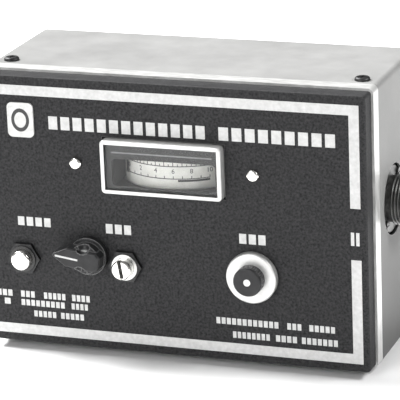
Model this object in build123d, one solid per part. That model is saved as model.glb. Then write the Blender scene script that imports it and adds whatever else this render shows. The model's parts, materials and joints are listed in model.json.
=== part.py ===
from build123d import *
import math
import os

# In-line antenna meter: a small desk instrument with an edgewise meter, a function switch, a slotted
# calibration shaft, a sensitivity control, a push-button and a coaxial socket on each side.
# Millimetres, +Z up. Parts are drawn with the front panel's face at y = 0 and the case's underside at
# z = 0, then moved so that the origin is the middle of the footprint, on the floor.

# --- Case ---
CASE_W = 127.0
CASE_H = 88.6
CASE_D = 54.0
SHEET = 1.2
COVER_T = 0.8
PANEL_W = CASE_W - 2 * COVER_T
PANEL_H = CASE_H - COVER_T
COVER_R = 1.8
PANEL_LIP = 6.0
TRIM_L = 5.0
TOP_FLANGE = 24.0
SIDE_FLANGE = 12.0
FIT = 0.2
CHASSIS_X = PANEL_W / 2 - SHEET - FIT
CHASSIS_TOP = 70.0
TOP_SCREW_X = 57.5
TOP_SCREW_Y = 15.0
SIDE_SCREW_Y = CASE_D - 8.0
SIDE_SCREW_Z = 22.0
FOOT_H = 2.5
FOOT_R = 5.0
FOOT_X = 48.0
FOOT_Y = (13.0, 44.0)

# --- Meter ---
METER_X = -2.1
METER_Z = 61.2
METER_W = 39.4
METER_H = 17.2
METER_PROUD = 3.2
METER_RIM = 1.3
SCALE_R = 20.0
SCALE_T = 0.5
SCALE_HALF_ANGLE = 48.0
PIVOT_Y = 21.2
METER_SCREW_SHIFT = 29.0
SWEEP = 80.0
BODY_W = 35.6
BODY_H = 16.2
BODY_BACK = 30.0
PLATE_Z = 1.0 - BODY_H / 2
COIL_Z = (-4.8, 4.4)
METER_SCREW_Z = METER_Z - 0.3

# --- Controls: where each one's axis crosses the panel ---
SWITCH_AT = (-27.6, 31.4)
SET_AT = (25.9, 28.4)
CAL_AT = (-16.0, 28.3)
BUTTON_AT = (-50.3, 28.4)
SHAFT_R = 3.0
SET_SHAFT_R = 2.0
SET_KNOB_R = 4.6
CAL_SHAFT_R = 3.175
BUSHING_R = 3.6
WIDE_BUSHING_R = 4.2
RUNNING = 0.05
KNOB_ANGLE = 8.0
KNOB_PROUD = 7.6
SET_PROUD = 6.4

# --- Sockets and coupler line ---
LINE_Y = 26.5
LINE_Z = 47.8
SOCKET_HOLE_R = 11.25
SOCKET_FLANGE_R = 10.7
SOCKET_BARREL_R = 7.94
SOCKET_NECK_R = 7.3
SOCKET_NECK_X = 64.2
SOCKET_MOUTH_X = 74.5
SOCKET_SCREW_PCR = 9.5
TROUGH_W = 13.0
TROUGH_H = 9.8
LINE_R = 2.0
PICKUP_HALF = 35.0
PICKUP_GAP = 4.0

# --- Detector board ---
BOARD_X = 50.0
BOARD_Y = (19.0, 46.0)
BOARD_Z = 8.0
BOARD_T = 1.6

FRONT_Y = (KNOB_PROUD - CASE_D) / 2


def box(x0, x1, y0, y1, z0, z1):
    """Block between two corners."""
    centre = Pos((x0 + x1) / 2, (y0 + y1) / 2, (z0 + z1) / 2)
    return centre * Box(x1 - x0, y1 - y0, z1 - z0)


def rod_x(y, z, r, x0, x1):
    return Pos((x0 + x1) / 2, y, z) * Rot(0, 90, 0) * Cylinder(r, abs(x1 - x0))


def rod_y(at, r, y0, y1):
    return Pos(at[0], (y0 + y1) / 2, at[1]) * Rot(90, 0, 0) * Cylinder(r, y1 - y0)


def rod_z(x, y, r, z0, z1):
    return Pos(x, y, (z0 + z1) / 2) * Cylinder(r, z1 - z0)


def ring_y(at, r_out, r_in, y0, y1):
    return rod_y(at, r_out, y0, y1) - rod_y(at, r_in, y0 - 1, y1 + 1)


def hex_y(at, across, r_in, y0, y1):
    """Hexagon nut along Y."""
    prism = extrude(RegularPolygon(across / 2, 6, major_radius=False), y1 - y0)
    nut = Pos(at[0], y1, at[1]) * Rot(90, 0, 0) * prism
    return nut - rod_y(at, r_in, y0 - 1, y1 + 1)


def round_edges(part, axis, radius):
    """Round the edges that run along one axis."""
    return fillet(part.edges().filter_by(axis), radius)


def wire(points, r):
    """Bent wire through a list of points."""
    part = None
    from_start = (Align.CENTER, Align.CENTER, Align.MIN)
    for a, b in zip(points, points[1:]):
        start = Vector(*a)
        run = Vector(*b) - start
        leg = Plane(origin=start, z_dir=run) * Cylinder(r, run.length, align=from_start)
        joint = Pos(*b) * Sphere(r)
        part = leg + joint if part is None else part + leg + joint
    return part


def both_sides(part):
    """A part for the right side and its mirror image for the left."""
    return [part, part.mirror(Plane.YZ)]


# ---------------------------------------------------------------- case

def tray(depth, side_depth):
    """Panel folded back along all four edges, its face at y = 0."""
    blank = box(-PANEL_W / 2, PANEL_W / 2, 0, depth, 0, PANEL_H)
    blank = round_edges(blank, Axis.Y, COVER_R - COVER_T)
    inner_x = PANEL_W / 2 - SHEET
    pocket = box(-inner_x, inner_x, SHEET, depth + 1, SHEET, PANEL_H - SHEET)
    part = blank - pocket
    if side_depth < depth:
        for side in (-1, 1):
            x0, x1 = sorted((side * (inner_x - 1), side * (inner_x + 3)))
            part -= box(x0, x1, side_depth, depth + 1, SHEET + 2, PANEL_H - SHEET - 2)
    return part


def front_panel():
    part = tray(TOP_FLANGE, SIDE_FLANGE)
    face_edges = part.edges().group_by(Axis.Y)[0]
    part = fillet(face_edges, 0.4)
    part -= box(METER_X - METER_W / 2 - FIT, METER_X + METER_W / 2 + FIT, -1, SHEET + 1,
                METER_Z - METER_H / 2 - FIT, METER_Z + METER_H / 2 + FIT)
    for x in (METER_X - METER_SCREW_SHIFT, METER_X + METER_SCREW_SHIFT):
        part -= rod_y((x, METER_SCREW_Z), 1.2, -1, SHEET + 1)
    part -= rod_y(SWITCH_AT, BUSHING_R + 0.1, -1, SHEET + 1)
    part -= rod_y(SET_AT, BUSHING_R + 0.1, -1, SHEET + 1)
    part -= rod_y(CAL_AT, 4.3, -1, SHEET + 1)
    part -= rod_y(BUTTON_AT, 4.3, -1, SHEET + 1)
    return part - top_screw_holes() - foot_holes(FOOT_Y[0])


def top_screw_holes():
    holes = [rod_z(x, TOP_SCREW_Y, 1.5, CASE_H - 5, CASE_H + 1) for x in (-TOP_SCREW_X, TOP_SCREW_X)]
    return holes[0] + holes[1]


def side_screw_holes():
    return rod_x(SIDE_SCREW_Y, SIDE_SCREW_Z, 1.5, -70, 70)


def foot_holes(y):
    holes = [rod_z(x, y, 1.6, -1, 4) for x in (-FOOT_X, FOOT_X)]
    return holes[0] + holes[1]


def rear_panel():
    part = Pos(0, CASE_D, 0) * Rot(0, 0, 180) * tray(SIDE_FLANGE, SIDE_FLANGE)
    return part - side_screw_holes() - foot_holes(FOOT_Y[1])


def chassis():
    """Channel with a floor and two side walls that carry the sockets."""
    y0 = SHEET + FIT
    y1 = CASE_D - SHEET - FIT
    part = box(-CHASSIS_X, CHASSIS_X, y0, y1, SHEET, 2 * SHEET)
    for side in (-1, 1):
        x0, x1 = sorted((side * (CHASSIS_X - SHEET), side * CHASSIS_X))
        part += box(x0, x1, y0, y1, SHEET, CHASSIS_TOP)
    part -= rod_x(LINE_Y, LINE_Z, 5.6, -70, 70) + side_screw_holes()
    for y, z in socket_screw_places():
        part -= rod_x(y, z, 1.1, -70, 70)
    for y in FOOT_Y:
        part -= foot_holes(y)
    for x, y in standoff_places():
        part -= rod_z(x, y, 1.1, 0, 4)
    return part


def wrap(y0, y1):
    """Thin sheet bent over the top and down both sides."""
    outer = box(-CASE_W / 2, CASE_W / 2, y0, y1, 0.4, CASE_H)
    outer = fillet(outer.edges().filter_by(Axis.Y).group_by(Axis.Z)[-1], COVER_R)
    inner = box(-PANEL_W / 2, PANEL_W / 2, y0 - 1, y1 + 1, -1, PANEL_H)
    inner = fillet(inner.edges().filter_by(Axis.Y).group_by(Axis.Z)[-1], COVER_R - COVER_T)
    return outer - inner


def trim_band():
    return wrap(PANEL_LIP, PANEL_LIP + TRIM_L)


def cover():
    part = wrap(PANEL_LIP + TRIM_L, CASE_D)
    part -= rod_x(LINE_Y, LINE_Z, SOCKET_HOLE_R, -70, 70)
    return part - top_screw_holes() - side_screw_holes()


def cover_screw():
    """Cross-head screw pointing down, its head resting on z = 0."""
    head = rod_z(0, 0, 2.4, 0, 1.1)
    head = fillet(head.edges().sort_by(Axis.Z)[-1], 0.8)
    head -= Pos(0, 0, 1.0) * Box(2.6, 0.6, 1.2) + Pos(0, 0, 1.0) * Box(0.6, 2.6, 1.2)
    return head + rod_z(0, 0, 1.45, -5.5, 0)


def cover_screws():
    """Two screws in the top near the front, and one in each side near the back."""
    screws = [Pos(x, TOP_SCREW_Y, CASE_H) * cover_screw() for x in (-TOP_SCREW_X, TOP_SCREW_X)]
    side = Pos(CASE_W / 2, SIDE_SCREW_Y, SIDE_SCREW_Z) * Rot(0, 90, 0) * cover_screw()
    return screws + both_sides(side)


def rubber_feet():
    feet = []
    for x in (-FOOT_X, FOOT_X):
        for y in FOOT_Y:
            pad = rod_z(x, y, FOOT_R, -FOOT_H, 0)
            pad = chamfer(pad.edges().sort_by(Axis.Z)[0], 0.6)
            pad -= rod_z(x, y, 1.6, -FOOT_H - 1, 1)
            pad -= rod_z(x, y, 3.0, -FOOT_H - 1, -1.0)
            feet.append(pad)
    return feet


def foot_screws():
    screws = []
    for x in (-FOOT_X, FOOT_X):
        for y in FOOT_Y:
            head = rod_z(x, y, 2.7, -2.2, -1.0)
            screws.append(head + rod_z(x, y, 1.45, -1.0, 6.0))
    return screws


def badge():
    """Small rounded emblem plate stuck to the panel."""
    plate = box(-53.2, -44.5, -0.6, 0, 68.3, 79.4)
    return round_edges(plate, Axis.Y, 1.6)


# ---------------------------------------------------------------- meter

def meter_block(width, height, y0, y1):
    """Block centred on the meter."""
    return box(METER_X - width / 2, METER_X + width / 2, y0, y1, METER_Z - height / 2, METER_Z + height / 2)


def at_pivot(part):
    """Move a piece of the movement from the origin to the pivot, level with the meter's middle."""
    return Pos(METER_X, PIVOT_Y, METER_Z) * part


def at_zero_mark(part):
    """The same, turned from straight ahead to the zero mark on the left."""
    return at_pivot(Rot(0, 0, -SWEEP / 2) * part)


def meter_bezel():
    part = round_edges(meter_block(METER_W, METER_H, -METER_PROUD, SHEET), Axis.Y, 1.4)
    part = fillet(part.edges().group_by(Axis.Y)[0], 0.5)
    hole = meter_block(METER_W - 2 * METER_RIM, METER_H - 2 * METER_RIM, -METER_PROUD - 1, SHEET + 1)
    return part - hole


def meter_window():
    y0 = -METER_PROUD + 0.5
    return meter_block(METER_W - 2 * METER_RIM, METER_H - 2 * METER_RIM, y0, y0 + 1.2)


def meter_mask():
    """Black mask that leaves the scale strip open."""
    y0 = -METER_PROUD + 1.8
    part = meter_block(METER_W - 2 * METER_RIM, METER_H - 2 * METER_RIM, y0, y0 + 0.6)
    opening = box(METER_X - 16.4, METER_X + 17.4, y0 - 1, y0 + 2, METER_Z - 6.2, METER_Z + 2.5)
    return part - round_edges(opening, Axis.Y, 1.2)


def meter_body():
    ears = meter_block(2 * METER_SCREW_SHIFT + 9, METER_H + 2, SHEET, SHEET + 1.6)
    ears -= meter_block(BODY_W - 2, BODY_H - 2, 0, 5)
    shell = meter_block(BODY_W, BODY_H, SHEET + 1.6, BODY_BACK)
    shell -= meter_block(BODY_W - 2, BODY_H - 2, 0, BODY_BACK - 1)
    part = ears + shell
    for x in (METER_X - METER_SCREW_SHIFT, METER_X + METER_SCREW_SHIFT):
        part -= rod_y((x, METER_SCREW_Z), 1.2, 0, 5)
    for at in terminal_places():
        part -= rod_y(at, 1.0, BODY_BACK - 3, BODY_BACK + 1)
    return part


def meter_screws():
    screws = []
    for x in (METER_X - METER_SCREW_SHIFT, METER_X + METER_SCREW_SHIFT):
        at = (x, METER_SCREW_Z)
        head = rod_y(at, 1.9, -1.3, 0)
        head = fillet(head.edges().sort_by(Axis.Y)[0], 0.8)
        head -= box(x - 2.5, x + 2.5, -1.5, -0.7, METER_SCREW_Z - 0.3, METER_SCREW_Z + 0.3)
        screws.append(head + rod_y(at, 1.0, 0, 6.5))
    return screws


def movement_plate():
    """Floor of the movement, which carries the scale, yoke and lower jewel."""
    disc = rod_z(0, 0, SCALE_R + SCALE_T, PLATE_Z, PLATE_Z + 0.4)
    keep = box(1.2 - BODY_W / 2, BODY_W / 2 - 1.2, -40, BODY_BACK - PIVOT_Y - 1.2, -10, 10)
    return at_pivot((disc & keep) - rod_z(0, 0, 1.0, -10, 10))


def meter_scale():
    """Curved scale strip standing on the movement plate."""
    z0 = PLATE_Z + 0.4
    z1 = 3.6
    strip = rod_z(0, 0, SCALE_R + SCALE_T, z0, z1) - rod_z(0, 0, SCALE_R, z0 - 1, z1 + 1)
    reach = 2 * SCALE_R
    spread = reach * math.tan(math.radians(SCALE_HALF_ANGLE))
    sector = Polyline((0, 0), (spread, -reach), (-spread, -reach), close=True)
    wedge = extrude(make_face(sector), 10, both=True)
    return at_pivot(strip & wedge)


def pole_yoke():
    z0 = PLATE_Z + 0.4
    part = rod_z(0, 0, 7.2, z0, 3.3) - rod_z(0, 0, 5.3, z0 - 1, 4)
    for side in (-1, 1):
        x0, x1 = sorted((side * 3.0, side * 5.6))
        part += box(x0, x1, -1, 1, -1.2, 0.8)
    return at_pivot(part - rod_z(0, 0, 3.2, -3.2, 2.8))


def core_magnet():
    return at_pivot(rod_z(0, 0, 3.2, -3.2, 2.8))


def moving_coil():
    z0, z1 = COIL_Z
    loop = box(-1.2, 1.2, -4.65, 4.65, z0, z1) - box(-2, 2, -3.75, 3.75, z0 + 0.9, z1 - 0.9)
    return at_zero_mark(loop)


def pivot_staff():
    upper = rod_z(0, 0, 0.5, COIL_Z[1], 6.3)
    lower = rod_z(0, 0, 0.5, PLATE_Z + 0.9, COIL_Z[0])
    return [at_pivot(upper), at_pivot(lower)]


def pointer():
    """Arm that passes over the scale and hangs its tip in front of it."""
    z = COIL_Z[1]
    tip_r = SCALE_R + SCALE_T + 0.9
    part = rod_z(0, 0, 1.3, z, z + 0.6)
    part += box(-0.3, 0.3, -tip_r, -0.9, z, z + 0.5)
    part += box(-0.4, 0.4, -tip_r, 0.4 - tip_r, -3.4, z + 0.5)
    part += box(-0.3, 0.3, 0.9, 5.6, z, z + 0.5)
    part += box(-1.1, 1.1, 5.0, 6.4, z, z + 0.8)
    return at_zero_mark(part - rod_z(0, 0, 0.5, z - 1, z + 2))


def top_bridge():
    part = box(-10, 10, -2.2, 2.2, 6.1, 6.9)
    for side in (-1, 1):
        x0, x1 = sorted((side * 8.8, side * 10))
        part += box(x0, x1, -2.2, 2.2, PLATE_Z + 0.4, 6.1)
    return at_pivot(part - rod_z(0, 0, 1.0, 5, 8))


def jewel_screws():
    """Cup bearings above and below the coil, with a running fit on the staff."""
    seat = 0.5 + RUNNING
    top = rod_z(0, 0, 1.0, 5.9, 6.9) - rod_z(0, 0, seat, 5.8, 6.4)
    low = rod_z(0, 0, 1.0, PLATE_Z, PLATE_Z + 1.3) - rod_z(0, 0, seat, PLATE_Z + 0.8, PLATE_Z + 2)
    return [at_pivot(top), at_pivot(low)]


def hairspring(z):
    """Flat spiral ribbon."""
    turns = 2.5
    steps = 60
    outer, inner = [], []
    for i in range(steps + 1):
        angle = 2 * math.pi * turns * i / steps
        r = 0.9 + 2.3 * i / steps
        outer.append(((r + 0.08) * math.cos(angle), (r + 0.08) * math.sin(angle)))
        inner.append(((r - 0.08) * math.cos(angle), (r - 0.08) * math.sin(angle)))
    ribbon = make_face(Polyline(*outer, *reversed(inner), close=True))
    return at_pivot(Pos(0, 0, z) * extrude(ribbon, 0.35))


def hairsprings():
    return [hairspring(5.4), hairspring(-5.4)]


def terminal_places():
    return [(METER_X - 9, METER_Z), (METER_X + 9, METER_Z)]


def meter_terminals():
    studs = []
    for at in terminal_places():
        stud = rod_y(at, 1.0, BODY_BACK - 2, BODY_BACK + 6)
        studs.append(stud + hex_y(at, 4.0, 0.9, BODY_BACK, BODY_BACK + 1.6))
    return studs


# ---------------------------------------------------------------- function switch

def switch_knob():
    """Bar knob with a pointed nose and a thin round skirt."""
    x, z = SWITCH_AT
    skirt = rod_y((0, 0), 6.1, -2.9, -0.4)
    hub = rod_y((0, 0), 4.8, 1.8 - KNOB_PROUD, -1.9)
    upper = [(-5.6, 3.1), (4.2, 3.1), (5.4, 2.0)]
    lower = [(a, -b) for a, b in reversed(upper)]
    outline = Polyline((-11.0, 0), *upper, *lower, close=True)
    bar = Pos(0, -1.9, 0) * Rot(90, 0, 0) * extrude(make_face(outline), KNOB_PROUD - 1.9)
    bar = fillet(bar.edges().filter_by(Axis.Y), 0.8)
    bar = fillet(bar.edges().group_by(Axis.Y)[0], 0.7)
    part = skirt + hub + bar
    part -= rod_y((0, 0), 5.7, -2.3, 0)
    part -= rod_y((0, 0), SHAFT_R, 2 - KNOB_PROUD, 0)
    for side in (-1, 1):
        part -= Pos(-0.6, 0.6 - KNOB_PROUD, side * 4.5) * Sphere(2.4)
    part -= Pos(0, -4.4, -3) * Cylinder(1.0, 4)
    return Pos(x, 0, z) * Rot(0, KNOB_ANGLE, 0) * part


def switch_set_screw():
    screw = Pos(0, -4.4, -3.45) * Cylinder(1.0, 0.9)
    screw -= Pos(0, -4.4, -3.9) * Box(0.5, 3, 0.6)
    x, z = SWITCH_AT
    return Pos(x, 0, z) * Rot(0, KNOB_ANGLE, 0) * screw


def bushed_body(at, r, y0, y1, bushing_r, bore_r, bushing_y):
    """Round component body with its bushing through the panel."""
    body = rod_y(at, r, y0, y1)
    body = fillet(body.edges().sort_by(Axis.Y)[-1], 0.6)
    body += rod_y(at, bushing_r, bushing_y, y0)
    return body - rod_y(at, bore_r, bushing_y - 1, y1 + 1)


def switch_body():
    return bushed_body(SWITCH_AT, 6.6, SHEET, 8.0, BUSHING_R, SHAFT_R + RUNNING, -2.1)


def switch_shaft():
    part = rod_y(SWITCH_AT, SHAFT_R, 2 - KNOB_PROUD, 14.5)
    x, z = SWITCH_AT
    return part - box(x - 2.2, x + 2.2, 9.0, 16, z + 2.2, z + 4)


def switch_rotor():
    part = ring_y(SWITCH_AT, 4.6, SHAFT_R, 11.6, 13.0)
    x, z = SWITCH_AT
    part += box(x - 2.2, x + 2.2, 11.6, 13.0, z + 2.2, z + 4)
    return part


def switch_wafer():
    part = ring_y(SWITCH_AT, 7.6, 4.9, 11.4, 13.2)
    for at in switch_post_places():
        part -= rod_y(at, 0.6, 10, 15)
    return part


def switch_post_places():
    x, z = SWITCH_AT
    return [(x - 5.9, z), (x + 5.9, z)]


def switch_posts():
    """Shouldered posts that hold the wafer off the body."""
    posts = []
    for at in switch_post_places():
        post = rod_y(at, 1.1, 8.0, 11.4) + rod_y(at, 0.6, 11.4, 14.6)
        posts.append(post + rod_y(at, 1.2, 13.2, 14.2))
    return posts


def switch_contacts():
    """Terminal clips round the back of the wafer."""
    x, z = SWITCH_AT
    clips = []
    for step in (40, 65, 90, 115, 140, 220, 245, 270, 295, 320):
        blade = box(5.2, 9.4, 13.2, 13.6, -0.6, 0.6)
        clips.append(Pos(x, 0, z) * Rot(0, step, 0) * blade)
    return clips


# ---------------------------------------------------------------- sensitivity control

def set_knob():
    part = rod_y(SET_AT, SET_KNOB_R, -SET_PROUD, -2.7)
    part = fillet(part.edges().group_by(Axis.Y)[0], 0.6)
    x, z = SET_AT
    for i in range(20):
        flute = Pos(SET_KNOB_R, 0, 0) * Rot(90, 0, 0) * Cylinder(0.3, SET_PROUD - 4.3)
        part -= Pos(x, -(SET_PROUD + 2.7) / 2, z) * Rot(0, 18 * i, 0) * flute
    return part - rod_y(SET_AT, SET_SHAFT_R, 2 - SET_PROUD, 0)


def set_skirt():
    """Dished bright disc under the knob."""
    dish = rod_y(SET_AT, 8.1, -2.7, -0.4)
    dish = fillet(dish.edges().group_by(Axis.Y)[0], 0.6)
    dish -= rod_y(SET_AT, 7.3, -2.0, 0)
    return dish - rod_y(SET_AT, SET_SHAFT_R, -4, 0)


def set_pot_body():
    part = bushed_body(SET_AT, 8.5, SHEET, 10.0, BUSHING_R, SET_SHAFT_R + RUNNING, -1.9)
    part -= rod_y(SET_AT, 7.9, SHEET + 1.0, 9.2)
    x, z = SET_AT
    for dx in (-4, 0, 4):
        part += box(x + dx - 0.7, x + dx + 0.7, 9.3, 9.9, z - 13.0, z - 6.0)
    return part


def set_pot_shaft():
    return rod_y(SET_AT, SET_SHAFT_R, 2 - SET_PROUD, 6.0)


def set_pot_track():
    """Carbon track, a ring open at the bottom."""
    x, z = SET_AT
    part = ring_y(SET_AT, 7.7, 5.0, 8.6, 9.2)
    return part - box(x - 1.5, x + 1.5, 8, 10, z - 9, z)


def set_pot_wiper():
    x, z = SET_AT
    arm = rod_y(SET_AT, 2.6, 6.0, 7.2) + box(x - 6.8, x, 6.2, 6.8, z - 0.8, z + 0.8)
    return arm + box(x - 6.8, x - 5.6, 6.2, 8.5, z - 0.8, z + 0.8)


# ---------------------------------------------------------------- panel nuts

def shaft_nuts():
    """Nuts on the switch's and the sensitivity control's bushings."""
    return [hex_y(at, 9.6, BUSHING_R, -1.5, 0) for at in (SWITCH_AT, SET_AT)]


def bushing_nuts():
    """Nuts on the calibration control's and the push-button's bushings."""
    return [hex_y(at, 9.6, WIDE_BUSHING_R, -1.3, 0) for at in (CAL_AT, BUTTON_AT)]


# ---------------------------------------------------------------- calibration control

def cal_shaft():
    part = rod_y(CAL_AT, CAL_SHAFT_R, -5.0, 6.0)
    part = chamfer(part.edges().sort_by(Axis.Y)[0], 0.4)
    slot = box(-0.6, 0.6, -6, -3.4, -4, 4)
    return part - Pos(CAL_AT[0], 0, CAL_AT[1]) * Rot(0, -9, 0) * slot


def cal_pot_body():
    part = bushed_body(CAL_AT, 5.1, SHEET, 9.0, WIDE_BUSHING_R, CAL_SHAFT_R + RUNNING, -1.7)
    part += rod_y(CAL_AT, 4.0, 7.0, 9.0)
    x, z = CAL_AT
    for dx in (-2, 0, 2):
        part += box(x + dx - 0.6, x + dx + 0.6, 8.0, 8.5, z - 9.4, z - 4.0)
    return part


# ---------------------------------------------------------------- push-button

def button_cap():
    """Cap and stem that slide in the body."""
    cap = rod_y(BUTTON_AT, 3.2, -4.2, 1.0)
    cap = fillet(cap.edges().group_by(Axis.Y)[0], 0.8)
    return cap + rod_y(BUTTON_AT, 1.4, 1.0, 11.0)


def button_body():
    part = rod_y(BUTTON_AT, 5.8, SHEET, 15.0) + rod_y(BUTTON_AT, WIDE_BUSHING_R, -1.8, SHEET)
    part -= rod_y(BUTTON_AT, 3.2 + RUNNING, -3, 3.4)
    part -= rod_y(BUTTON_AT, 2.6, 3.0, 10.0)
    part -= rod_y(BUTTON_AT, 1.45, 9.0, 13.4)
    x, z = BUTTON_AT
    for dx in (-3, 3):
        part += box(x + dx - 0.3, x + dx + 0.3, 15.0, 20.0, z - 1, z + 1)
    return part


def button_spring():
    """Return spring around the stem."""
    coil = Helix(pitch=1.6, height=7.6, radius=2.05)
    section = Plane(origin=coil @ 0, z_dir=coil % 0) * Circle(0.2)
    spring = sweep(section, path=coil)
    return Pos(BUTTON_AT[0], 9.5, BUTTON_AT[1]) * Rot(90, 0, 0) * spring


# ---------------------------------------------------------------- sockets

def socket_screw_places():
    """Four screws on the diagonals round the line."""
    reach = SOCKET_SCREW_PCR * math.sqrt(0.5)
    return [(LINE_Y + a * reach, LINE_Z + b * reach) for a in (-1, 1) for b in (-1, 1)]


def socket_shells():
    part = rod_x(LINE_Y, LINE_Z, SOCKET_FLANGE_R, CHASSIS_X, CHASSIS_X + 1.5)
    barrel = rod_x(LINE_Y, LINE_Z, SOCKET_BARREL_R, SOCKET_NECK_X, SOCKET_MOUTH_X)
    barrel = chamfer(barrel.edges().sort_by(Axis.X)[-1], 0.5)
    part += barrel + rod_x(LINE_Y, LINE_Z, SOCKET_NECK_R, CHASSIS_X + 1.5, SOCKET_NECK_X)
    part += rod_x(LINE_Y, LINE_Z, 5.5, 57.5, CHASSIS_X)
    part -= rod_x(LINE_Y, LINE_Z, 5.8, 66.0, SOCKET_MOUTH_X + 1)
    part -= rod_x(LINE_Y, LINE_Z, 4.2, 56, 67)
    for y, z in socket_screw_places():
        part -= rod_x(y, z, 1.1, 60, CHASSIS_X + 3)
    return both_sides(part)


def socket_insulators():
    part = rod_x(LINE_Y, LINE_Z, 4.2, 57.5, 66.0) + rod_x(LINE_Y, LINE_Z, 4.9, 66.0, 68.5)
    return both_sides(part - rod_x(LINE_Y, LINE_Z, 2.6, 56, 70))


def socket_contacts():
    """Split tube for the plug's pin, with a solder cup at the back."""
    part = rod_x(LINE_Y, LINE_Z, 2.6, 54.0, 73.0)
    part -= rod_x(LINE_Y, LINE_Z, LINE_R, 63.0, 74.0)
    part -= rod_x(LINE_Y, LINE_Z, LINE_R, 53.0, 57.0)
    return both_sides(part)


def socket_screws():
    screws = []
    x0 = CHASSIS_X + 1.5
    for y, z in socket_screw_places():
        screw = rod_x(y, z, 1.05, 57.4, x0) + rod_x(y, z, 1.5, x0, x0 + 0.7)
        screw -= box(x0 + 0.35, x0 + 1, y - 2, y + 2, z - 0.2, z + 0.2)
        screws.extend(both_sides(screw))
    return screws


# ---------------------------------------------------------------- coupler line

def line_box(half_x, half_y, half_z):
    """Block centred on the coupler line."""
    return box(-half_x, half_x, LINE_Y - half_y, LINE_Y + half_y, LINE_Z - half_z, LINE_Z + half_z)


def coupler_trough():
    """Channel open underneath, with an end plate against each chassis wall."""
    end_x = CHASSIS_X - SHEET
    part = line_box(end_x, TROUGH_W / 2, TROUGH_H / 2)
    part -= Pos(0, 0, -1) * line_box(end_x + 1, TROUGH_W / 2 - 1, TROUGH_H / 2)
    plates = round_edges(line_box(end_x, 9.5, 9.5), Axis.X, 2)
    part += plates - line_box(end_x - 1, 10, 10)
    part -= rod_x(LINE_Y, LINE_Z, 5.5, -70, 70) - line_box(end_x - 3, 10, 10)
    for y, z in socket_screw_places():
        part -= rod_x(y, z, 1.05, -70, -end_x + 4) + rod_x(y, z, 1.05, end_x - 4, 70)
    return part


def line_conductor():
    return rod_x(LINE_Y, LINE_Z, LINE_R, -57.0, 57.0)


def line_spacers():
    blocks = []
    for x in (-45, 45):
        block = box(x - 2, x + 2, LINE_Y - 5.5, LINE_Y + 5.5, LINE_Z - 5.0, LINE_Z + TROUGH_H / 2 - 1)
        blocks.append(block - rod_x(LINE_Y, LINE_Z, LINE_R, x - 4, x + 4))
    return blocks


def pickup_wires():
    """Forward and reflected pick-ups beside the line, their ends down on the board."""
    wires = []
    foot = BOARD_Z + BOARD_T
    for side in (-1, 1):
        y = LINE_Y + side * PICKUP_GAP
        along = [(-PICKUP_HALF, y, LINE_Z), (PICKUP_HALF, y, LINE_Z)]
        wires.append(wire([(-PICKUP_HALF, y, foot), *along, (PICKUP_HALF, y, foot + 0.4)], 0.4))
    return wires


# ---------------------------------------------------------------- detector board

def standoff_places():
    return [(x, y) for x in (-BOARD_X + 4, BOARD_X - 4) for y in (BOARD_Y[0] + 3, BOARD_Y[1] - 8)]


def circuit_board():
    part = box(-BOARD_X, BOARD_X, BOARD_Y[0], BOARD_Y[1], BOARD_Z, BOARD_Z + BOARD_T)
    for x, y in standoff_places():
        part -= rod_z(x, y, 1.1, BOARD_Z - 1, BOARD_Z + 3)
    return part


def standoffs():
    return [rod_z(x, y, 2.2, 2 * SHEET, BOARD_Z) - rod_z(x, y, 1.1, 0, 10) for x, y in standoff_places()]


def board_screws():
    screws = []
    top = BOARD_Z + BOARD_T
    for x, y in standoff_places():
        screw = rod_z(x, y, 1.05, SHEET, top) + rod_z(x, y, 2.0, top, top + 1.2)
        screws.append(screw - box(x - 3, x + 3, y - 0.25, y + 0.25, top + 0.7, top + 2))
    return screws


def axial_part(x, y, r, length, lead_r=0.3):
    """Two-lead component lying along X on the board."""
    top = BOARD_Z + BOARD_T
    z = top + r + 0.3
    half = length / 2
    body = rod_x(y, z, r, x - half, x + half)
    reach = half + 2.5
    leads = wire([(x - reach, y, top), (x - reach, y, z), (x - half + 0.4, y, z)], lead_r)
    leads += wire([(x + reach, y, top), (x + reach, y, z), (x + half - 0.4, y, z)], lead_r)
    return body + leads


def diodes():
    return [axial_part(-24, 40, 1.1, 6), axial_part(24, 40, 1.1, 6)]


def resistors():
    return [axial_part(x, y, 1.3, 7) for x, y in ((-24, 34), (24, 34), (-6, 34), (8, 40))]


def wiring():
    """Insulated leads from the meter, switch and controls to the board."""
    top = BOARD_Z + BOARD_T + 0.6
    rear = BODY_BACK + 5
    leads = []
    for side, (x, z) in zip((-1, 1), terminal_places()):
        drop = x + side * 6
        leads.append([(x + side * 1.7, rear, z), (drop, 36, z - 4), (drop, 36, 30), (side * 12, 30, top)])
    leads += [
        [(SET_AT[0], 10.5, SET_AT[1] - 12.4), (SET_AT[0], 14, 15), (SET_AT[0], 20.5, top)],
        [(CAL_AT[0], 9.1, CAL_AT[1] - 8.8), (CAL_AT[0], 13, 17), (CAL_AT[0], 20.5, top)],
        [(BUTTON_AT[0] + 3, 20.7, BUTTON_AT[1]), (-43, 22.5, 22), (-40, 22.5, top)],
        [(SWITCH_AT[0], 14.4, SWITCH_AT[1] - 8.8), (SWITCH_AT[0], 18, 18), (SWITCH_AT[0], 21, top)],
    ]
    return [wire(path, 0.6) for path in leads]


# ---------------------------------------------------------------- export


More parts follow.
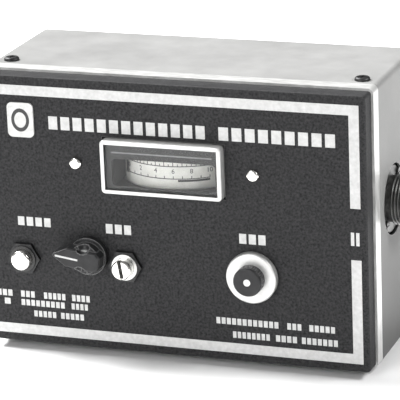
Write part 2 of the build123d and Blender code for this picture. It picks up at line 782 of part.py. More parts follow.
NODES = [
    front_panel,
    trim_band,
    cover,
    rear_panel,
    chassis,
    cover_screws,
    rubber_feet,
    foot_screws,
    badge,
    meter_bezel,
    meter_window,
    meter_mask,
    meter_body,
    meter_screws,
    movement_plate,
    meter_scale,
    pole_yoke,
    core_magnet,
    moving_coil,
    pivot_staff,
    pointer,
    top_bridge,
    jewel_screws,
    hairsprings,
    meter_terminals,
    switch_knob,
    switch_set_screw,
    switch_body,
    switch_shaft,
    switch_rotor,
    switch_wafer,
    switch_posts,
    switch_contacts,
    set_knob,
    set_skirt,
    set_pot_body,
    set_pot_shaft,
    set_pot_wiper,
    set_pot_track,
    shaft_nuts,
    bushing_nuts,
    cal_shaft,
    cal_pot_body,
    button_cap,
    button_body,
    button_spring,
    socket_shells,
    socket_insulators,
    socket_contacts,
    socket_screws,
    coupler_trough,
    line_conductor,
    line_spacers,
    pickup_wires,
    circuit_board,
    standoffs,
    board_screws,
    diodes,
    resistors,
    wiring,
]

os.makedirs("parts", exist_ok=True)
for make in NODES:
    shape = make()
    solids = shape if isinstance(shape, list) else [shape]
    placed = [Pos(0, FRONT_Y, FOOT_H) * solid for solid in solids]
    export_step(Compound(children=placed) if len(placed) > 1 else placed[0], f"parts/{make.__name__}.step")
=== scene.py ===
import json
import math

import bmesh
import bpy
from mathutils import Matrix, Vector


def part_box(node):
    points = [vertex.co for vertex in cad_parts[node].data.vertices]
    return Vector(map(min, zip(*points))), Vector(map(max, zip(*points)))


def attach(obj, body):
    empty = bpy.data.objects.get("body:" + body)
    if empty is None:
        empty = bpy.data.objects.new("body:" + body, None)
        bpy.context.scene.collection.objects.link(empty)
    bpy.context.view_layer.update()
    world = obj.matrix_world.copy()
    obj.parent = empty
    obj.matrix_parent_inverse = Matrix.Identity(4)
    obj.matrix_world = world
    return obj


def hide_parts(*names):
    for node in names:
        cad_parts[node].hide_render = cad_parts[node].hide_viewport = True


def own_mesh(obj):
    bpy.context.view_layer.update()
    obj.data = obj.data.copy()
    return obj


# Looks of a small in-line antenna meter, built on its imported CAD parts. Metres, +Z up, panel facing -Y.

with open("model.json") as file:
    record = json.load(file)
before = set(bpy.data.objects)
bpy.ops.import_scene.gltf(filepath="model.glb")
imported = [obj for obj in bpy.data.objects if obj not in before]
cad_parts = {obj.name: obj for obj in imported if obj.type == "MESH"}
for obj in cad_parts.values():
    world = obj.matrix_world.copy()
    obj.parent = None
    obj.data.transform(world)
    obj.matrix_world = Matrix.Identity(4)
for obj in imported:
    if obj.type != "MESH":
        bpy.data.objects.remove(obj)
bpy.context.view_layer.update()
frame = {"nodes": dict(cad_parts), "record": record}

MM = 0.001
PANEL_LO, PANEL_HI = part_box("front_panel")
PANEL_Y = PANEL_LO.y
BEZEL_LO, BEZEL_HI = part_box("meter_bezel")
SCALE_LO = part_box("meter_scale")[0]
PRINT_T = 0.05 * MM


# ---------------------------------------------------------------- materials

NOISE_LOW, NOISE_HIGH = 0.3, 0.7
BUMP_DISTANCE = 0.2 * MM
COAT_ROUGH = 0.2
# Edge colour, part wear and part painted highlight: bevel radius, then where the mask starts and where it
# is full.
EDGE_WEAR_HIGHLIGHT_RADIUS = 0.5 * MM
EDGE_WEAR_HIGHLIGHT_NONE, EDGE_WEAR_HIGHLIGHT_FULL = 0.985, 0.90
CHIP_SCALE = 900.0
# Painted shade on the cover: strongest at the floor, fading out by this height.
FLOOR_SHADE_TOP = 70.0 * MM
FLOOR_SHADE_DEPTH = 0.8


def new_material(name):
    """Empty material with a Principled shader. Returns the material, its nodes, links and shader."""
    mat = bpy.data.materials.new(name)
    mat.use_nodes = True
    nodes = mat.node_tree.nodes
    links = mat.node_tree.links
    return mat, nodes, links, nodes["Principled BSDF"]


def noise(nodes, links, scale, detail=4.0, rough=0.6, stretch=(1, 1, 1)):
    """Noise in the object's own coordinates."""
    coords = nodes.new("ShaderNodeTexCoord")
    mapping = nodes.new("ShaderNodeMapping")
    mapping.inputs["Scale"].default_value = stretch
    texture = nodes.new("ShaderNodeTexNoise")
    texture.inputs["Scale"].default_value = scale
    texture.inputs["Detail"].default_value = detail
    texture.inputs["Roughness"].default_value = rough
    links.new(coords.outputs["Object"], mapping.inputs["Vector"])
    links.new(mapping.outputs["Vector"], texture.inputs["Vector"])
    return texture


def ramp(nodes, links, source, low, high):
    """Colour ramp between two colours."""
    node = nodes.new("ShaderNodeValToRGB")
    node.color_ramp.elements[0].position = NOISE_LOW
    node.color_ramp.elements[0].color = (*low, 1)
    node.color_ramp.elements[1].position = NOISE_HIGH
    node.color_ramp.elements[1].color = (*high, 1)
    links.new(source, node.inputs["Fac"])
    return node


def spread(nodes, links, source, low, high):
    """Map the noise onto a range of values."""
    node = nodes.new("ShaderNodeMapRange")
    node.inputs["From Min"].default_value = NOISE_LOW
    node.inputs["From Max"].default_value = NOISE_HIGH
    node.inputs["To Min"].default_value = low
    node.inputs["To Max"].default_value = high
    links.new(source, node.inputs["Value"])
    return node


def surface(name, low, high, metallic, rough, bump=0.0, scale=300.0, bump_scale=2500.0, coat=0.0,
            stretch=(1, 1, 1), wear_and_highlight=None, floor_shade=None, specular=0.5):
    """Painted, plated or moulded surface whose colour, gloss and relief all vary."""
    mat, nodes, links, shader = new_material(name)
    patches = noise(nodes, links, scale, stretch=stretch)
    colour = ramp(nodes, links, patches.outputs["Fac"], low, high)
    base = colour.outputs["Color"]
    # Painted shade, darker towards the floor.
    if floor_shade:
        base = shade_towards_floor(nodes, links, base, floor_shade)
    # Edge colour: part wear, part painted highlight.
    if wear_and_highlight:
        base = edge_wear_and_highlight(nodes, links, base, wear_and_highlight)
    links.new(base, shader.inputs["Base Color"])
    gloss = spread(nodes, links, patches.outputs["Fac"], rough[0], rough[1])
    links.new(gloss.outputs["Result"], shader.inputs["Roughness"])
    shader.inputs["Metallic"].default_value = metallic
    shader.inputs["Specular IOR Level"].default_value = specular
    shader.inputs["Coat Weight"].default_value = coat
    shader.inputs["Coat Roughness"].default_value = COAT_ROUGH
    if bump:
        grain = noise(nodes, links, bump_scale, detail=6.0, stretch=stretch)
        relief = nodes.new("ShaderNodeBump")
        relief.inputs["Strength"].default_value = bump
        relief.inputs["Distance"].default_value = BUMP_DISTANCE
        links.new(grain.outputs["Fac"], relief.inputs["Height"])
        links.new(relief.outputs["Normal"], shader.inputs["Normal"])
    return mat


def blend(nodes, links, mask, base, colour):
    """Mix a second colour into the base wherever the mask is high."""
    mix = nodes.new("ShaderNodeMix")
    mix.data_type = "RGBA"
    links.new(mask, mix.inputs["Factor"])
    links.new(base, mix.inputs["A"])
    mix.inputs["B"].default_value = (*colour, 1)
    return mix.outputs["Result"]


def edge_wear_and_highlight(nodes, links, base, colour):
    """Show a second colour in broken patches along the edges: part rubbed wear, part painted highlight."""
    geometry = nodes.new("ShaderNodeNewGeometry")
    rounded = nodes.new("ShaderNodeBevel")
    rounded.samples = 4
    rounded.inputs["Radius"].default_value = EDGE_WEAR_HIGHLIGHT_RADIUS
    turned = nodes.new("ShaderNodeVectorMath")
    turned.operation = "DOT_PRODUCT"
    links.new(geometry.outputs["Normal"], turned.inputs[0])
    links.new(rounded.outputs["Normal"], turned.inputs[1])
    edges = nodes.new("ShaderNodeMapRange")
    edges.inputs["From Min"].default_value = EDGE_WEAR_HIGHLIGHT_NONE
    edges.inputs["From Max"].default_value = EDGE_WEAR_HIGHLIGHT_FULL
    links.new(turned.outputs["Value"], edges.inputs["Value"])
    chips = noise(nodes, links, CHIP_SCALE, detail=8.0)
    mask = nodes.new("ShaderNodeMath")
    mask.operation = "MULTIPLY"
    links.new(edges.outputs["Result"], mask.inputs[0])
    links.new(chips.outputs["Fac"], mask.inputs[1])
    return blend(nodes, links, mask.outputs["Value"], base, colour)


def shade_towards_floor(nodes, links, base, colour):
    """Painted shade: blend a darker colour in towards the floor, so the lower part looks less lit."""
    coords = nodes.new("ShaderNodeTexCoord")
    split = nodes.new("ShaderNodeSeparateXYZ")
    links.new(coords.outputs["Object"], split.inputs["Vector"])
    fade = nodes.new("ShaderNodeMapRange")
    fade.inputs["From Min"].default_value = 0.0
    fade.inputs["From Max"].default_value = FLOOR_SHADE_TOP
    fade.inputs["To Min"].default_value = FLOOR_SHADE_DEPTH
    fade.inputs["To Max"].default_value = 0.0
    links.new(split.outputs["Z"], fade.inputs["Value"])
    return blend(nodes, links, fade.outputs["Result"], base, colour)


def panel_paint():
    """Black enamel with a fine wrinkle, a faint bloom of dust, and edges lighter with wear and painted
    highlight.
    """
    return surface("panel_paint", (0.004, 0.004, 0.005), (0.042, 0.042, 0.043), 0.0, (0.45, 0.75),
                   bump=0.6, scale=1300.0, bump_scale=1300.0, wear_and_highlight=(0.16, 0.16, 0.16), specular=0.14)


def cover_paint():
    """Light grey stoved enamel with painted shade darkening it towards the bottom, and edges lighter with
    wear and painted highlight.
    """
    return surface("cover_paint", (0.195, 0.195, 0.192), (0.245, 0.245, 0.241), 0.0, (0.5, 0.65),
                   bump=0.25, scale=60.0, bump_scale=1400.0, wear_and_highlight=(0.45, 0.45, 0.45),
                   floor_shade=(0.07, 0.07, 0.068), specular=0.15)


def trim_metal():
    return surface("trim_metal", (0.50, 0.50, 0.49), (0.70, 0.70, 0.69), 0.55, (0.30, 0.45), bump=0.15,
                   scale=200.0, bump_scale=1500.0, stretch=(1, 8, 1))


def dark_steel():
    return surface("dark_steel", (0.022, 0.022, 0.023), (0.06, 0.06, 0.06), 0.9, (0.42, 0.58),
                   bump=0.2, scale=500.0)


def zinc():
    return surface("zinc", (0.52, 0.53, 0.52), (0.70, 0.70, 0.68), 1.0, (0.28, 0.45),
                   bump=0.15, scale=400.0)


def nickel():
    return surface("nickel", (0.70, 0.69, 0.66), (0.88, 0.87, 0.84), 1.0, (0.16, 0.30),
                   bump=0.1, scale=500.0)


# Very dark nickel: painted shade, so the sockets in their recesses on the shaded side come out dark.
def shade_dark_nickel():
    return surface("shade_dark_nickel", (0.06, 0.06, 0.06), (0.17, 0.17, 0.165), 0.9, (0.32, 0.5),
                   bump=0.15, scale=400.0)


def brass():
    return surface("brass", (0.50, 0.35, 0.13), (0.74, 0.56, 0.26), 1.0, (0.25, 0.42),
                   bump=0.12, scale=400.0)


def black_plastic():
    return surface("black_plastic", (0.016, 0.016, 0.016), (0.035, 0.034, 0.033), 0.0, (0.40, 0.55),
                   bump=0.2)


def knob_plastic():
    # Lighter edges: part wear, part painted highlight.
    return surface("knob_plastic", (0.010, 0.010, 0.011), (0.024, 0.024, 0.025), 0.0, (0.30, 0.45),
                   bump=0.1, coat=0.08, wear_and_highlight=(0.32, 0.32, 0.32), specular=0.22)


def emblem_enamel():
    return surface("emblem_enamel", (0.48, 0.48, 0.47), (0.60, 0.60, 0.585), 0.0, (0.25, 0.4),
                   bump=0.08, scale=500.0, coat=0.4)


def print_ink():
    return surface("print_ink", (0.45, 0.45, 0.445), (0.58, 0.58, 0.575), 0.0, (0.45, 0.6),
                   bump=0.15, scale=700.0)


def scale_paint():
    return surface("scale_paint", (0.78, 0.77, 0.72), (0.90, 0.89, 0.85), 0.0, (0.5, 0.65),
                   bump=0.1, scale=400.0)


def black_ink():
    return surface("black_ink", (0.015, 0.015, 0.015), (0.04, 0.04, 0.04), 0.0, (0.5, 0.65),
                   bump=0.05, scale=700.0)


def soft_iron():
    return surface("soft_iron", (0.20, 0.20, 0.205), (0.34, 0.34, 0.34), 0.9, (0.4, 0.6),
                   bump=0.3, scale=400.0)


def copper():
    return surface("copper", (0.42, 0.15, 0.06), (0.66, 0.30, 0.15), 0.9, (0.3, 0.45),
                   bump=0.3, scale=500.0, stretch=(1, 1, 12))


def rubber():
    return surface("rubber", (0.014, 0.014, 0.014), (0.032, 0.032, 0.031), 0.0, (0.7, 0.85),
                   bump=0.3, scale=300.0)


def white_plastic():
    return surface("white_plastic", (0.76, 0.76, 0.73), (0.86, 0.86, 0.84), 0.0, (0.4, 0.55),
                   bump=0.1, scale=400.0)


def phenolic():
    return surface("phenolic", (0.22, 0.10, 0.035), (0.36, 0.19, 0.08), 0.0, (0.4, 0.55),
                   bump=0.15, scale=500.0, stretch=(1, 6, 1))


def board_laminate():
    return surface("board_laminate", (0.34, 0.21, 0.08), (0.48, 0.32, 0.14), 0.0, (0.35, 0.5),
                   bump=0.12, scale=350.0, stretch=(6, 1, 1))


def resistor_lacquer():
    return surface("resistor_lacquer", (0.46, 0.29, 0.14), (0.62, 0.42, 0.24), 0.0, (0.25, 0.4),
                   bump=0.1, scale=600.0)


def red_insulation():
    return surface("red_insulation", (0.34, 0.03, 0.02), (0.52, 0.07, 0.05), 0.0, (0.35, 0.5),
                   bump=0.08, scale=500.0)


def carbon_film():
    return surface("carbon_film", (0.02, 0.02, 0.02), (0.05, 0.05, 0.05), 0.1, (0.4, 0.6),
                   bump=0.2, scale=700.0)


def plain_aluminium():
    return surface("plain_aluminium", (0.60, 0.60, 0.60), (0.76, 0.76, 0.76), 1.0, (0.32, 0.5),
                   bump=0.15, scale=250.0, stretch=(1, 8, 1))


def clear_acrylic():
    """Clear pane with a slight haze."""
    mat, nodes, links, shader = new_material("clear_acrylic")
    haze = noise(nodes, links, 250.0)
    gloss = spread(nodes, links, haze.outputs["Fac"], 0.03, 0.10)
    links.new(gloss.outputs["Result"], shader.inputs["Roughness"])
    tint = ramp(nodes, links, haze.outputs["Fac"], (0.93, 0.94, 0.94), (0.98, 0.98, 0.98))
    links.new(tint.outputs["Color"], shader.inputs["Base Color"])
    shader.inputs["Transmission Weight"].default_value = 1.0
    shader.inputs["IOR"].default_value = 1.3
    return mat


SLOT_LOOKS = {
    "black_enamel": panel_paint,
    "grey_enamel": cover_paint,
    "bright_trim": trim_metal,
    "zinc_plate": zinc,
    "dark_screw": dark_steel,
    "dark_nickel": shade_dark_nickel,
    "nickel": nickel,
    "brass_plain": brass,
    "black_plastic": black_plastic,
    "knob_plastic": knob_plastic,
    "clear_plastic": clear_acrylic,
    "white_emblem": emblem_enamel,
    "scale_white": scale_paint,
    "pointer_black": black_ink,
    "iron": soft_iron,
    "copper": copper,
    "rubber_black": rubber,
    "ptfe": white_plastic,
    "phenolic_brown": phenolic,
    "board_green": board_laminate,
    "resistor_tan": resistor_lacquer,
    "wire_red": red_insulation,
    "carbon": carbon_film,
    "aluminium_plain": plain_aluminium,
}


def dress_cad_nodes():
    """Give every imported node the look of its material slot."""
    looks = {slot: make() for slot, make in SLOT_LOOKS.items()}
    for entry in frame["record"]["subparts"]:
        piece = frame["nodes"][entry["node"]]
        piece.data.materials.clear()
        piece.data.materials.append(looks[entry["material_slot"]])
    return looks


LOOKS = dress_cad_nodes()
INK = print_ink()
INK_DARK = black_ink()


# ---------------------------------------------------------------- printed marks

def add_mesh(name, bm, material, body):
    """Turn a bmesh into a named piece that rides on a body."""
    bmesh.ops.recalc_face_normals(bm, faces=bm.faces)
    mesh = bpy.data.meshes.new(name)
    bm.to_mesh(mesh)
    bm.free()
    piece = bpy.data.objects.new(name, mesh)
    bpy.context.scene.collection.objects.link(piece)
    mesh.materials.append(material)
    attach(piece, body)
    return piece


def printed_shape(bm, points, y):
    """Thin slab of any outline on the face at y; points in millimetres from the panel's middle and foot."""
    base = PANEL_LO.z
    back = [bm.verts.new((x * MM, y, base + z * MM)) for x, z in points]
    front = [bm.verts.new((x * MM, y - PRINT_T, base + z * MM)) for x, z in points]
    bm.faces.new(front)
    bm.faces.new(list(reversed(back)))
    for i in range(len(points)):
        j = (i + 1) % len(points)
        bm.faces.new((back[i], back[j], front[j], front[i]))


def printed_block(bm, x0, x1, z0, z1, y=PANEL_Y):
    """Rectangular mark on the panel, or on another face."""
    printed_shape(bm, [(x0, z0), (x1, z0), (x1, z1), (x0, z1)], y)


# Border, in millimetres: its width, its distance from the panel's edges, and the gap beside the socket.
BORDER_LINE = 3.2
BORDER_LEFT, BORDER_RIGHT, BORDER_TOP, BORDER_BOTTOM = 1.0, 2.1, 2.9, 2.6
BORDER_GAP = (36.2, 52.6)

# Rows of printed words, in millimetres: foot, head and gap between blocks, then the left, right and number
# of blocks of each word.
TITLE_ROWS = [
    (71.3, 75.5, 1.1, [(-39.6, 11.8, 13), (16.2, 53.1, 9)]),
]
LABEL_ROWS = [
    (39.1, 42.0, 0.8, [(-51.9, -40.8, 4)]),
    (38.6, 41.7, 0.8, [(-22.2, -13.8, 3)]),
    (38.7, 41.9, 0.8, [(21.7, 30.2, 3)]),
    (40.8, 45.0, 0.6, [(57.4, 60.1, 2)]),
]
SMALL_PRINT_ROWS = [
    (15.0, 17.1, 0.45, [(-60.6, -55.4, 3), (-52.4, -47.7, 3), (-44.5, -37.2, 5), (-34.9, -28.9, 4)]),
    (12.2, 14.2, 0.45, [(-58.2, -56.2, 1), (-52.4, -37.6, 9), (-35.2, -29.7, 4)]),
    (8.7, 10.7, 0.45, [(-48.2, -40.7, 5), (-39.0, -31.2, 5)]),
    (11.9, 14.0, 0.45, [(13.3, 33.5, 12), (36.4, 40.9, 3), (43.5, 51.7, 5)]),
    (7.6, 9.7, 0.45, [(18.6, 30.6, 8), (32.6, 39.4, 4), (41.0, 52.5, 7)]),
]

# Ring on the badge: inner and outer radius in millimetres, and how much taller than wide it is.
RING_RADII = (2.0, 3.0)
RING_STRETCH = 1.25
RING_SEGMENTS = 32


def border():
    """Printed line along the top, right and bottom of the panel, with a gap beside the socket."""
    bm = bmesh.new()
    half = (PANEL_HI.x - PANEL_LO.x) / 2 / MM
    left, right = BORDER_LEFT - half, half - BORDER_RIGHT
    ceiling, ground = (PANEL_HI.z - PANEL_LO.z) / MM - BORDER_TOP, BORDER_BOTTOM
    printed_block(bm, left, right, ceiling - BORDER_LINE, ceiling)
    printed_block(bm, left, right, ground, ground + BORDER_LINE)
    printed_block(bm, right - BORDER_LINE, right, BORDER_GAP[1], ceiling - BORDER_LINE)
    printed_block(bm, right - BORDER_LINE, right, ground + BORDER_LINE, BORDER_GAP[0])
    add_mesh("panel_border", bm, INK, "instrument")


def printed_rows(name, rows):
    """Rows of plain blocks that stand for printed words."""
    bm = bmesh.new()
    for foot, head, gap, words in rows:
        for left, right, blocks in words:
            pitch = (right - left + gap) / blocks
            for i in range(blocks):
                start = left + i * pitch
                printed_block(bm, start, start + pitch - gap, foot, head)
    add_mesh(name, bm, INK, "instrument")


def emblem():
    """Plain ring on the badge."""
    low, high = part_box("badge")
    mid_x = (low.x + high.x) / 2 / MM
    mid_z = ((low.z + high.z) / 2 - PANEL_LO.z) / MM
    inner, outer = RING_RADII
    bm = bmesh.new()
    spokes = [2 * math.pi * i / RING_SEGMENTS for i in range(RING_SEGMENTS + 1)]
    for a, b in zip(spokes, spokes[1:]):
        corners = [(inner, a), (outer, a), (outer, b), (inner, b)]
        outline = [(mid_x + r * math.cos(turn), mid_z + RING_STRETCH * r * math.sin(turn))
                   for r, turn in corners]
        printed_shape(bm, outline, y=low.y)
    add_mesh("badge_ring", bm, INK_DARK, "instrument")


border()
printed_rows("title_marks", TITLE_ROWS)
printed_rows("label_marks", LABEL_ROWS)
printed_rows("small_print", SMALL_PRINT_ROWS)
emblem()


# ---------------------------------------------------------------- meter dial

PIVOT = (Vector(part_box("core_magnet")[0]) + Vector(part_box("core_magnet")[1])) / 2
DIAL_R = PIVOT.y - SCALE_LO.y
DIAL_Z = (BEZEL_LO.z + BEZEL_HI.z) / 2

# Dial markings: angles in degrees from the middle, heights in millimetres from the dial's middle.
DIAL_SWEEP = 40.0
UPPER_ARC = (0.35, 0.6)
LOWER_ARC = (-3.6, -3.35)
BAND = (-4.4, -3.75)
BAND_START = 12.0
TICKS = 20
TICK_HALF = 0.3
LONG_TICK, SHORT_TICK, LOWER_TICK = 1.9, 1.2, -2.6
NUMBERS = 5
NUMBER_Z = -1.1
NUMBER_SIZE = 2.1 * MM

# Line on the mask, in millimetres: its width, its height over the dial's middle, and its inset at the ends.
MASK_LINE = 0.45
MASK_LINE_Z = 4.3
MASK_LINE_END = 2.0


def dial_slab(bm, start, end, z0, z1, steps=1):
    """Thin curved slab on the dial between two angles and two heights."""
    rings = []
    for i in range(steps + 1):
        angle = math.radians(start + (end - start) * i / steps)
        ring = []
        for r, z in ((DIAL_R, z0), (DIAL_R + PRINT_T, z0), (DIAL_R + PRINT_T, z1), (DIAL_R, z1)):
            at = (PIVOT.x + r * math.sin(angle), PIVOT.y - r * math.cos(angle), DIAL_Z + z * MM)
            ring.append(bm.verts.new(at))
        rings.append(ring)
    for a, b in zip(rings, rings[1:]):
        for i in range(4):
            j = (i + 1) % 4
            bm.faces.new((a[i], b[i], b[j], a[j]))
    bm.faces.new(rings[0])
    bm.faces.new(list(reversed(rings[-1])))


def dial_lines():
    """Two arcs, their ticks, and a bold band at the high end."""
    bm = bmesh.new()
    dial_slab(bm, -DIAL_SWEEP, DIAL_SWEEP, *UPPER_ARC, 40)
    dial_slab(bm, -DIAL_SWEEP, DIAL_SWEEP, *LOWER_ARC, 40)
    dial_slab(bm, BAND_START, DIAL_SWEEP, *BAND, 20)
    for i in range(TICKS + 1):
        angle = -DIAL_SWEEP + 2 * DIAL_SWEEP * i / TICKS
        numbered = i % 2 == 0
        top = LONG_TICK if numbered else SHORT_TICK
        dial_slab(bm, angle - TICK_HALF, angle + TICK_HALF, UPPER_ARC[1], top)
        if numbered:
            dial_slab(bm, angle - TICK_HALF, angle + TICK_HALF, LOWER_ARC[1], LOWER_TICK)
    add_mesh("dial_lines", bm, INK_DARK, "instrument")


def numeral(bm, text, angle):
    """Flat number tangent to the dial."""
    curve = bpy.data.curves.new("numeral", "FONT")
    curve.body = text
    curve.size = NUMBER_SIZE
    curve.extrude = PRINT_T / 2
    curve.align_x = "CENTER"
    curve.align_y = "CENTER"
    holder = bpy.data.objects.new("numeral", curve)
    mesh = bpy.data.meshes.new_from_object(holder)
    radius = DIAL_R + PRINT_T / 2
    turn = math.radians(angle)
    z = DIAL_Z + NUMBER_Z * MM
    at = Vector((PIVOT.x + radius * math.sin(turn), PIVOT.y - radius * math.cos(turn), z))
    place = Matrix.Translation(at) @ Matrix.Rotation(turn, 4, "Z") @ Matrix.Rotation(math.pi / 2, 4, "X")
    mesh.transform(place)
    bm.from_mesh(mesh)
    bpy.data.objects.remove(holder)
    bpy.data.meshes.remove(mesh)
    bpy.data.curves.remove(curve)


def dial_numbers():
    """Even numbers from 0 to 10 across the dial."""
    bm = bmesh.new()
    for i in range(NUMBERS + 1):
        numeral(bm, str(2 * i), -DIAL_SWEEP + 2 * DIAL_SWEEP * i / NUMBERS)
    add_mesh("dial_numbers", bm, INK_DARK, "instrument")


def mask_ink():
    return surface("mask_ink", (0.20, 0.20, 0.20), (0.30, 0.30, 0.30), 0.0, (0.5, 0.65),
                   bump=0.1, scale=700.0)


def mask_line():
    """Pale line printed across the black mask, over the opening."""
    low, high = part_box("meter_mask")
    bm = bmesh.new()
    left, right = low.x / MM + MASK_LINE_END, high.x / MM - MASK_LINE_END
    z = (DIAL_Z - PANEL_LO.z) / MM + MASK_LINE_Z
    printed_block(bm, left, right, z, z + MASK_LINE, y=low.y)
    add_mesh("mask_line", bm, mask_ink(), "instrument")


dial_lines()
dial_numbers()
mask_line()


# ---------------------------------------------------------------- knobs

KNOB_TILT = 8.0
INDEX_LENGTH = 7.6 * MM
INDEX_WIDTH = 0.6 * MM
INDEX_SHIFT = -5.4 * MM
INLAY_HIGHLIGHT_R = 1.1 * MM
SLOT_TILT = -9.0
SLOT_DEPTH = 1.6 * MM
SLOT_WIDTH = 1.16 * MM
SLOT_LENGTH = 6.0 * MM


def knob_index_and_highlight():
    """White index line along the nose of the bar knob, which also stands in as a painted highlight."""
    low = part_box("switch_knob")[0]
    shaft_low, shaft_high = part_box("switch_shaft")
    centre = (Vector(shaft_low) + Vector(shaft_high)) / 2
    bm = bmesh.new()
    bmesh.ops.create_cube(bm, size=1.0)
    size = Matrix.Diagonal((INDEX_LENGTH, PRINT_T, INDEX_WIDTH, 1))
    shift = Matrix.Translation((INDEX_SHIFT, low.y - PRINT_T / 2, 0))
    turn = Matrix.Rotation(math.radians(KNOB_TILT), 4, "Y")
    bm.transform(Matrix.Translation((centre.x, 0, centre.z)) @ turn @ shift @ size)
    add_mesh("knob_index_and_highlight", bm, INK, "function_knob")


def disc(bm, x, z, radius, y0, y1, segments=48):
    """Short cylinder along Y."""
    place = Matrix.Translation((x, (y0 + y1) / 2, z)) @ Matrix.Rotation(math.pi / 2, 4, "X")
    bmesh.ops.create_cone(bm, cap_ends=True, segments=segments, radius1=radius, radius2=radius,
                          depth=y1 - y0, matrix=place)


def set_knob_inlay_highlight():
    """Bright metal disc let into the front of the sensitivity knob, which also stands in as a painted
    highlight there.
    """
    low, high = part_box("set_knob")
    x, z = (low.x + high.x) / 2, (low.z + high.z) / 2
    bm = bmesh.new()
    disc(bm, x, z, INLAY_HIGHLIGHT_R, low.y - PRINT_T, low.y + PRINT_T)
    add_mesh("set_knob_inlay_highlight", bm, LOOKS["bright_trim"], "set_control")


def slot_shade():
    """Painted shade: a dark strip in the floor of the calibration shaft's slot."""
    low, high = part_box("cal_shaft")
    x, z = (low.x + high.x) / 2, (low.z + high.z) / 2
    floor = low.y + SLOT_DEPTH
    bm = bmesh.new()
    bmesh.ops.create_cube(bm, size=1.0)
    size = Matrix.Diagonal((SLOT_WIDTH, PRINT_T, SLOT_LENGTH, 1))
    turn = Matrix.Rotation(math.radians(SLOT_TILT), 4, "Y")
    bm.transform(Matrix.Translation((x, floor - PRINT_T / 2, z)) @ turn @ size)
    add_mesh("cal_slot_shade", bm, INK_DARK, "cal_control")


knob_index_and_highlight()
set_knob_inlay_highlight()
slot_shade()


# ---------------------------------------------------------------- coaxial sockets

THREAD_PITCH = 1.058 * MM
THREAD_DEPTH = 0.5 * MM
SHELL_LENGTH = 17.0 * MM
SHELL_SEGMENTS = 96
FLANGE_R, NECK_R, BARREL_R, BORE_R, SEAT_R = (r * MM for r in (10.7, 7.3, 7.94, 5.8, 4.2))
BACK_R = 5.5 * MM
EDGE = 0.3 * MM

# Distances along the line from the shell's inner end.
FLANGE_BACK, FLANGE_RIM, FLANGE_FRONT, NECK_END, SEAT_END = (x * MM for x in (3.8, 4.0, 5.3, 6.7, 8.5))


def shell_profile(mouth, base):
    """Outline of the socket shell as distance along the line and radius, from its inner end outwards."""
    back, rim, front = base + FLANGE_BACK, base + FLANGE_RIM, base + FLANGE_FRONT
    neck, seat = base + NECK_END, base + SEAT_END
    root_r = BARREL_R - THREAD_DEPTH
    outline = [(base, BACK_R), (back, BACK_R), (back, FLANGE_R - EDGE), (rim, FLANGE_R)]
    outline += [(front - EDGE, FLANGE_R), (front, FLANGE_R - EDGE), (front, NECK_R), (neck, NECK_R)]
    x = neck
    while x + THREAD_PITCH < mouth - 0.5 * MM:
        outline.append((x + 0.35 * THREAD_PITCH, BARREL_R))
        outline.append((x + 0.55 * THREAD_PITCH, BARREL_R))
        outline.append((x + 0.95 * THREAD_PITCH, root_r))
        x += THREAD_PITCH
    outline += [(mouth, root_r), (mouth, BORE_R), (seat, BORE_R), (seat, SEAT_R), (base, SEAT_R)]
    return outline


def socket_shell(name, side):
    """Threaded shell turned about the line, for one side of the case."""
    low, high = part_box("socket_shells")
    y, z = (low.y + high.y) / 2, (low.z + high.z) / 2
    outline = shell_profile(high.x, high.x - SHELL_LENGTH)
    bm = bmesh.new()
    rings = []
    for i in range(SHELL_SEGMENTS):
        angle = 2 * math.pi * i / SHELL_SEGMENTS
        rings.append([bm.verts.new((side * x, y + r * math.cos(angle), z + r * math.sin(angle)))
                      for x, r in outline])
    for i in range(SHELL_SEGMENTS):
        a, b = rings[i], rings[(i + 1) % SHELL_SEGMENTS]
        for j in range(len(outline)):
            k = (j + 1) % len(outline)
            bm.faces.new((a[j], a[k], b[k], b[j]))
    # The dark nickel look of the shell is painted shade.
    return add_mesh(name, bm, LOOKS["dark_nickel"], "instrument")


for shell in (socket_shell("socket_shell_right", 1), socket_shell("socket_shell_left", -1)):
    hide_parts("socket_shells")


# ---------------------------------------------------------------- push-button spring

SPRING_PITCH = 1.6 * MM
SPRING_WIRE_R = 0.2 * MM
SPRING_STEPS = 24
SPRING_SIDES = 8


def return_spring():
    """Coil round the button's stem."""
    low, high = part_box("button_spring")
    x, z = (low.x + high.x) / 2, (low.z + high.z) / 2
    coil_r = (high.x - low.x) / 2 - SPRING_WIRE_R
    start, end = low.y + SPRING_WIRE_R, high.y - SPRING_WIRE_R
    steps = round(SPRING_STEPS * (end - start) / SPRING_PITCH)
    bm = bmesh.new()
    rings = []
    for i in range(steps + 1):
        turn = 2 * math.pi * i / SPRING_STEPS
        y = start + (end - start) * i / steps
        ring = []
        for j in range(SPRING_SIDES):
            around = 2 * math.pi * j / SPRING_SIDES
            r = coil_r + SPRING_WIRE_R * math.cos(around)
            along = y + SPRING_WIRE_R * math.sin(around)
            ring.append(bm.verts.new((x + r * math.cos(turn), along, z + r * math.sin(turn))))
        rings.append(ring)
    for a, b in zip(rings, rings[1:]):
        for j in range(SPRING_SIDES):
            k = (j + 1) % SPRING_SIDES
            bm.faces.new((a[j], a[k], b[k], b[j]))
    bm.faces.new(rings[0])
    bm.faces.new(list(reversed(rings[-1])))
    coil = add_mesh("button_coil", bm, LOOKS["zinc_plate"], "instrument")
    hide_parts("button_spring")
    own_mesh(coil)


return_spring()


# ---------------------------------------------------------------- stage, light and camera

CAMERA_AT = (0.2821, -0.76045, 0.3079)
CAMERA_LENS = 242.7
CAMERA_YAW = 20.13
CAMERA_PITCH = 17.84
CAMERA_ROLL = -2.20
CAMERA_SHIFT = (-0.0186, -0.0056)
FLOOR_HALF = 4.0
WORLD_STRENGTH = 0.25

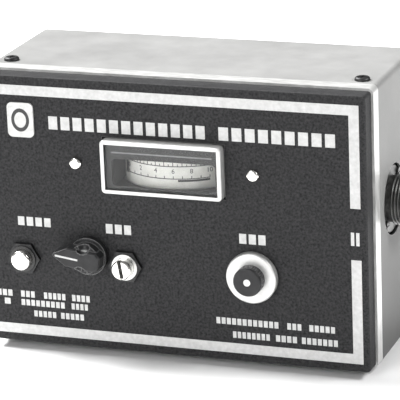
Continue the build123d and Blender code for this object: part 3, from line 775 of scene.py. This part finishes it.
# Lamps: name, place, point aimed at, width and height, power in watts.
LAMPS = [
    ("key", (-0.45, -1.25, 0.55), (0, 0, 0.05), (0.7, 0.7), 10.5),
    ("top", (-0.75, 0.25, 0.95), (0, 0.15, 0.0), (0.6, 0.6), 45),
    ("side", (0.30, 0.0, 0.25), (0.064, 0, 0.08), (0.12, 0.12), 0.92),
]


def floor_paper():
    return surface("floor_paper", (0.92, 0.92, 0.92), (0.95, 0.95, 0.95), 0.0, (0.8, 0.9),
                   bump=0.05, scale=3.0, bump_scale=30.0)


def make_stage():
    """Plain paper floor, which is not part of the object."""
    bm = bmesh.new()
    bmesh.ops.create_grid(bm, x_segments=1, y_segments=1, size=FLOOR_HALF)
    mesh = bpy.data.meshes.new("floor")
    bm.to_mesh(mesh)
    bm.free()
    floor = bpy.data.objects.new("floor", mesh)
    bpy.context.scene.collection.objects.link(floor)
    mesh.materials.append(floor_paper())


def area_light(name, at, aim, size, power):
    """Rectangular lamp that lights the object but is not itself seen."""
    data = bpy.data.lights.new(name, "AREA")
    data.shape = "RECTANGLE"
    data.size = size[0]
    data.size_y = size[1]
    data.energy = power
    lamp = bpy.data.objects.new(name, data)
    lamp.location = at
    lamp.rotation_mode = "QUATERNION"
    lamp.rotation_quaternion = (Vector(aim) - Vector(at)).to_track_quat("-Z", "Y")
    lamp.visible_camera = False
    bpy.context.scene.collection.objects.link(lamp)


def make_lights():
    """Three lamps and a faint white surround."""
    for lamp in LAMPS:
        area_light(*lamp)
    world = bpy.data.worlds.new("studio")
    bpy.context.scene.world = world
    world.use_nodes = True
    background = world.node_tree.nodes["Background"]
    background.inputs["Color"].default_value = (1, 1, 1, 1)
    background.inputs["Strength"].default_value = WORLD_STRENGTH


def make_camera():
    """Camera fitted to the straight edges of the case."""
    data = bpy.data.cameras.new("camera")
    data.lens = CAMERA_LENS
    data.sensor_width = 36.0
    data.shift_x, data.shift_y = CAMERA_SHIFT
    data.clip_start = 0.05
    data.clip_end = 20.0
    camera = bpy.data.objects.new("camera", data)
    camera.location = CAMERA_AT
    yaw = Matrix.Rotation(math.radians(CAMERA_YAW), 4, "Z")
    pitch = Matrix.Rotation(math.radians(90 - CAMERA_PITCH), 4, "X")
    roll = Matrix.Rotation(math.radians(CAMERA_ROLL), 4, "Z")
    camera.rotation_mode = "QUATERNION"
    camera.rotation_quaternion = (yaw @ pitch @ roll).to_quaternion()
    bpy.context.scene.collection.objects.link(camera)
    bpy.context.scene.camera = camera


make_stage()
make_lights()
make_camera()
bpy.context.scene.view_settings.view_transform = "Standard"
